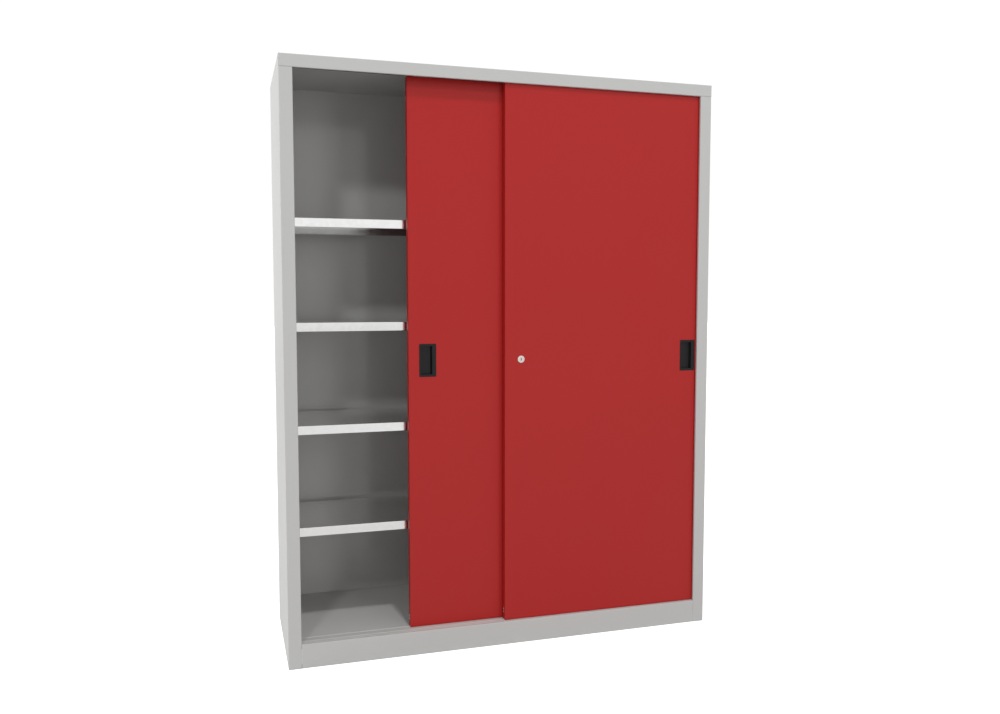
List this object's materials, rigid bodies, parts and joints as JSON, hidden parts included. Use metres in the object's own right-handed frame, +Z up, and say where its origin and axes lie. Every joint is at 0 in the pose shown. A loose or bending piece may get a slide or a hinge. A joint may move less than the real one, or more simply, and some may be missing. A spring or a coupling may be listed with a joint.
{
  "type": "sliding door cabinet",
  "caption": "Tall steel cabinet with two red sliding doors on separate tracks, recessed handles, a cylinder lock and galvanised shelves behind.",
  "frame": {"origin": "on the floor, at the middle of the cabinet's width and depth", "axes": "+X to the right seen from the front, +Y from the doors to the back, +Z up; at rest the front door is closed and the rear door stands partly open"},
  "size_m": [1.5, 0.5, 1.95],
  "materials": {
    "light_grey_paint": "fine powder coat, satin",
    "red_paint": "fine powder coat, satin",
    "galvanised_steel": "galvanised",
    "zinc_plated_steel": "zinc plated",
    "black_plastic": "moulded, satin",
    "chrome": "polished nickel chrome",
    "white_nylon": "moulded nylon",
    "black_rubber": "moulded rubber"
  },
  "bodies": {
    "cabinet": {"back_rivets": "zinc_plated_steel", "floor_panel": "light_grey_paint", "front_bottom_rail": "light_grey_paint", "front_top_track": "galvanised_steel", "left_back_panel": "light_grey_paint", "left_door_buffers": "black_rubber", "left_front_upright": "light_grey_paint", "left_rear_upright": "light_grey_paint", "left_side_panel": "light_grey_paint", "plinth": "light_grey_paint", "rear_base_rail": "light_grey_paint", "rear_bottom_rail": "light_grey_paint", "rear_top_track": "galvanised_steel", "right_back_panel": "light_grey_paint", "right_door_buffers": "black_rubber", "right_front_upright": "light_grey_paint", "right_rear_upright": "light_grey_paint", "right_side_panel": "light_grey_paint", "shelf_1": "galvanised_steel", "shelf_1_clips": "galvanised_steel", "shelf_1_stiffener": "galvanised_steel", "shelf_2": "galvanised_steel", "shelf_2_clips": "galvanised_steel", "shelf_2_stiffener": "galvanised_steel", "shelf_3": "galvanised_steel", "shelf_3_clips": "galvanised_steel", "shelf_3_stiffener": "galvanised_steel", "shelf_4": "galvanised_steel", "shelf_4_clips": "galvanised_steel", "shelf_4_stiffener": "galvanised_steel", "top_panel": "light_grey_paint"},
    "front_door": {"front_door_axles": "zinc_plated_steel", "front_door_bracket_rivets": "zinc_plated_steel", "front_door_guide_screws": "zinc_plated_steel", "front_door_handle": "black_plastic", "front_door_panel": "red_paint", "front_door_roller_brackets": "zinc_plated_steel", "front_door_stiffeners": "red_paint", "front_door_top_guides": "white_nylon", "lock_housing": "chrome", "lock_nut": "zinc_plated_steel"},
    "rear_door": {"lock_stop": "zinc_plated_steel", "lock_stop_rivet": "zinc_plated_steel", "rear_door_axles": "zinc_plated_steel", "rear_door_bracket_rivets": "zinc_plated_steel", "rear_door_guide_screws": "zinc_plated_steel", "rear_door_handle": "black_plastic", "rear_door_panel": "red_paint", "rear_door_roller_brackets": "zinc_plated_steel", "rear_door_stiffeners": "red_paint", "rear_door_top_guides": "white_nylon"},
    "lock_plug": {"lock_plug": "chrome", "lock_cam": "zinc_plated_steel", "lock_cam_screw": "zinc_plated_steel"},
    "front_door_left_wheel": {"front_door_left_wheel": "white_nylon"},
    "front_door_right_wheel": {"front_door_right_wheel": "white_nylon"},
    "rear_door_left_wheel": {"rear_door_left_wheel": "white_nylon"},
    "rear_door_right_wheel": {"rear_door_right_wheel": "white_nylon"}
  },
  "joints": [
    {"name": "front_door_slide", "type": "slide", "parent": "cabinet", "child": "front_door", "axis": [1, 0, 0], "range_m": [-0.7235, 0]},
    {"name": "rear_door_slide", "type": "slide", "parent": "cabinet", "child": "rear_door", "axis": [1, 0, 0], "range_m": [-0.3975, 0.326]},
    {"name": "lock_turn", "type": "hinge", "parent": "front_door", "child": "lock_plug", "pos_m": [0.0412, -0.238, 0.988], "axis": [0, 1, 0], "range_deg": [0, 90]},
    {"name": "front_door_left_wheel_spin", "type": "hinge", "parent": "front_door", "child": "front_door_left_wheel", "pos_m": [0.0175, -0.224, 0.0935], "axis": [0, 1, 0], "continuous": true},
    {"name": "front_door_right_wheel_spin", "type": "hinge", "parent": "front_door", "child": "front_door_right_wheel", "pos_m": [0.706, -0.224, 0.0935], "axis": [0, 1, 0], "continuous": true},
    {"name": "rear_door_left_wheel_spin", "type": "hinge", "parent": "rear_door", "child": "rear_door_left_wheel", "pos_m": [-0.3085, -0.193, 0.0935], "axis": [0, 1, 0], "continuous": true},
    {"name": "rear_door_right_wheel_spin", "type": "hinge", "parent": "rear_door", "child": "rear_door_right_wheel", "pos_m": [0.38, -0.193, 0.0935], "axis": [0, 1, 0], "continuous": true}
  ],
  "couplings": [
    {"joint": "front_door_left_wheel_spin", "follows": "front_door_slide", "rad_per_m": 83.333},
    {"joint": "front_door_right_wheel_spin", "follows": "front_door_slide", "rad_per_m": 83.333},
    {"joint": "rear_door_left_wheel_spin", "follows": "rear_door_slide", "rad_per_m": 83.333},
    {"joint": "rear_door_right_wheel_spin", "follows": "rear_door_slide", "rad_per_m": 83.333}
  ]
}
